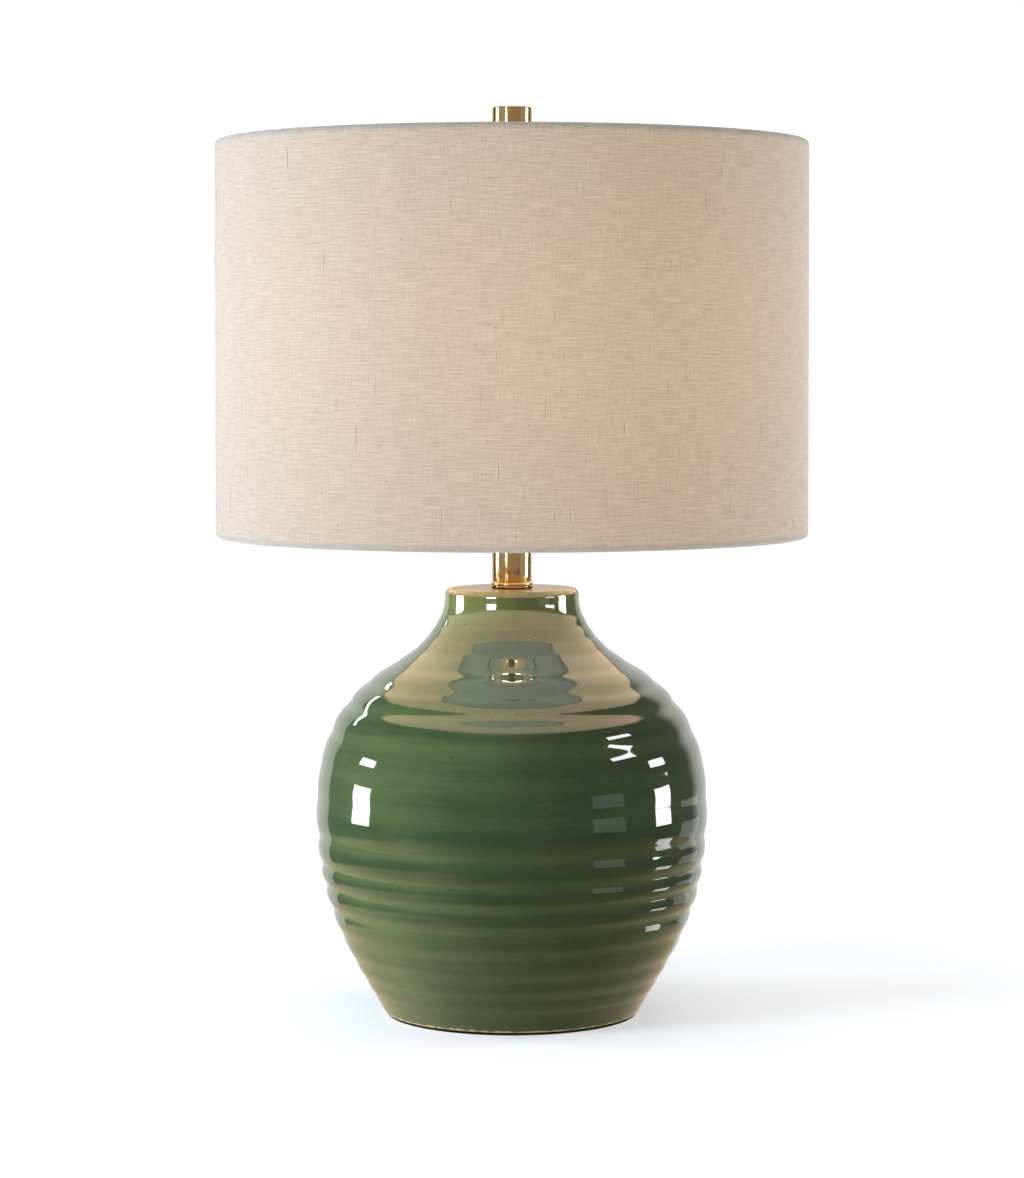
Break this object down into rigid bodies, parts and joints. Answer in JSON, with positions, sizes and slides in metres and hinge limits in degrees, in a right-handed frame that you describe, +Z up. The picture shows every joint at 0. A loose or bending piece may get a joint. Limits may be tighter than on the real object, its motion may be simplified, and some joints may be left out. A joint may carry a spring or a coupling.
{
  "type": "table lamp",
  "caption": "Table lamp with a ringed round ceramic body, a brass neck and a linen drum shade on a harp, held by a plain cylindrical finial, with a turn switch.",
  "frame": {"origin": "middle of the underside of the foot pad", "axes": "+Z up along the lamp's axis, front towards -Y, cord outlet at +Y, harp in the XZ plane"},
  "size_m": [0.381, 0.381, 0.5842],
  "materials": {
    "glaze": "gloss",
    "rubber": "matte",
    "zinc_steel": "satin",
    "brass": "satin",
    "linen": "woven",
    "liner_plastic": "matte",
    "phenolic": "satin",
    "insulating_paper": "matte",
    "frosted_glass": "frosted",
    "clear_glass": "gloss",
    "bulb_aluminium": "satin",
    "black_glass": "gloss",
    "tungsten": "satin"
  },
  "bodies": {
    "base": {"base_pad": "rubber", "ceramic_body": "glaze", "cord_grommet": "rubber", "bottom_gasket": "rubber", "bottom_washer": "zinc_steel", "bottom_lock_washer": "zinc_steel", "bottom_nut": "zinc_steel", "lamp_pipe": "zinc_steel", "neck_gasket": "rubber", "neck_tube": "brass", "neck_cap": "brass", "harp_saddle": "brass", "socket_cap": "brass", "cap_set_screw": "zinc_steel", "socket_shell": "brass", "socket_insulator": "insulating_paper", "switch_body": "phenolic", "terminal_screws": "brass", "screw_shell": "brass", "centre_contact": "brass"},
    "switch": {"switch_stem": "brass", "switch_knob": "phenolic"},
    "bulb": {"bulb_contact": "brass", "bulb_insulator": "black_glass", "bulb_base": "bulb_aluminium", "bulb_globe": "frosted_glass", "bulb_mount": "clear_glass", "bulb_filament": "tungsten"},
    "harp": {"harp_wire": "brass"},
    "left_ferrule": {"ferrule_left": "brass"},
    "right_ferrule": {"ferrule_right": "brass"},
    "stud": {"harp_stud": "brass"},
    "shade": {"shade_fabric": "linen", "shade_liner": "liner_plastic", "shade_top_ring": "zinc_steel", "shade_bottom_ring": "zinc_steel", "shade_top_hem": "linen", "shade_bottom_hem": "linen", "spider_hub": "brass", "spider_arms": "brass"},
    "finial": {"finial": "brass"}
  },
  "joints": [
    {"name": "switch_turn", "type": "hinge", "parent": "base", "child": "switch", "pos_m": [0, -0.0265, 0.355], "axis": [0, -1, 0], "continuous": true},
    {"name": "bulb_lift", "type": "slide", "parent": "base", "child": "bulb", "axis": [0, 0, 1], "range_m": [0, 0.028]},
    {"name": "harp_lift", "type": "slide", "parent": "base", "child": "harp", "axis": [0, 0, 1], "range_m": [0, 0.02]},
    {"name": "left_ferrule_slide", "type": "slide", "parent": "harp", "child": "left_ferrule", "axis": [0, 0, 1], "range_m": [0, 0.012]},
    {"name": "right_ferrule_slide", "type": "slide", "parent": "harp", "child": "right_ferrule", "axis": [0, 0, 1], "range_m": [0, 0.012]},
    {"name": "shade_turn", "type": "hinge", "parent": "harp", "child": "stud", "pos_m": [0, 0, 0.5536], "axis": [0, 0, 1], "continuous": true},
    {"name": "shade_lift", "type": "slide", "parent": "stud", "child": "shade", "axis": [0, 0, 1], "range_m": [0, 0.27]},
    {"name": "finial_lift", "type": "slide", "parent": "shade", "child": "finial", "axis": [0, 0, 1], "range_m": [0, 0.03]}
  ]
}
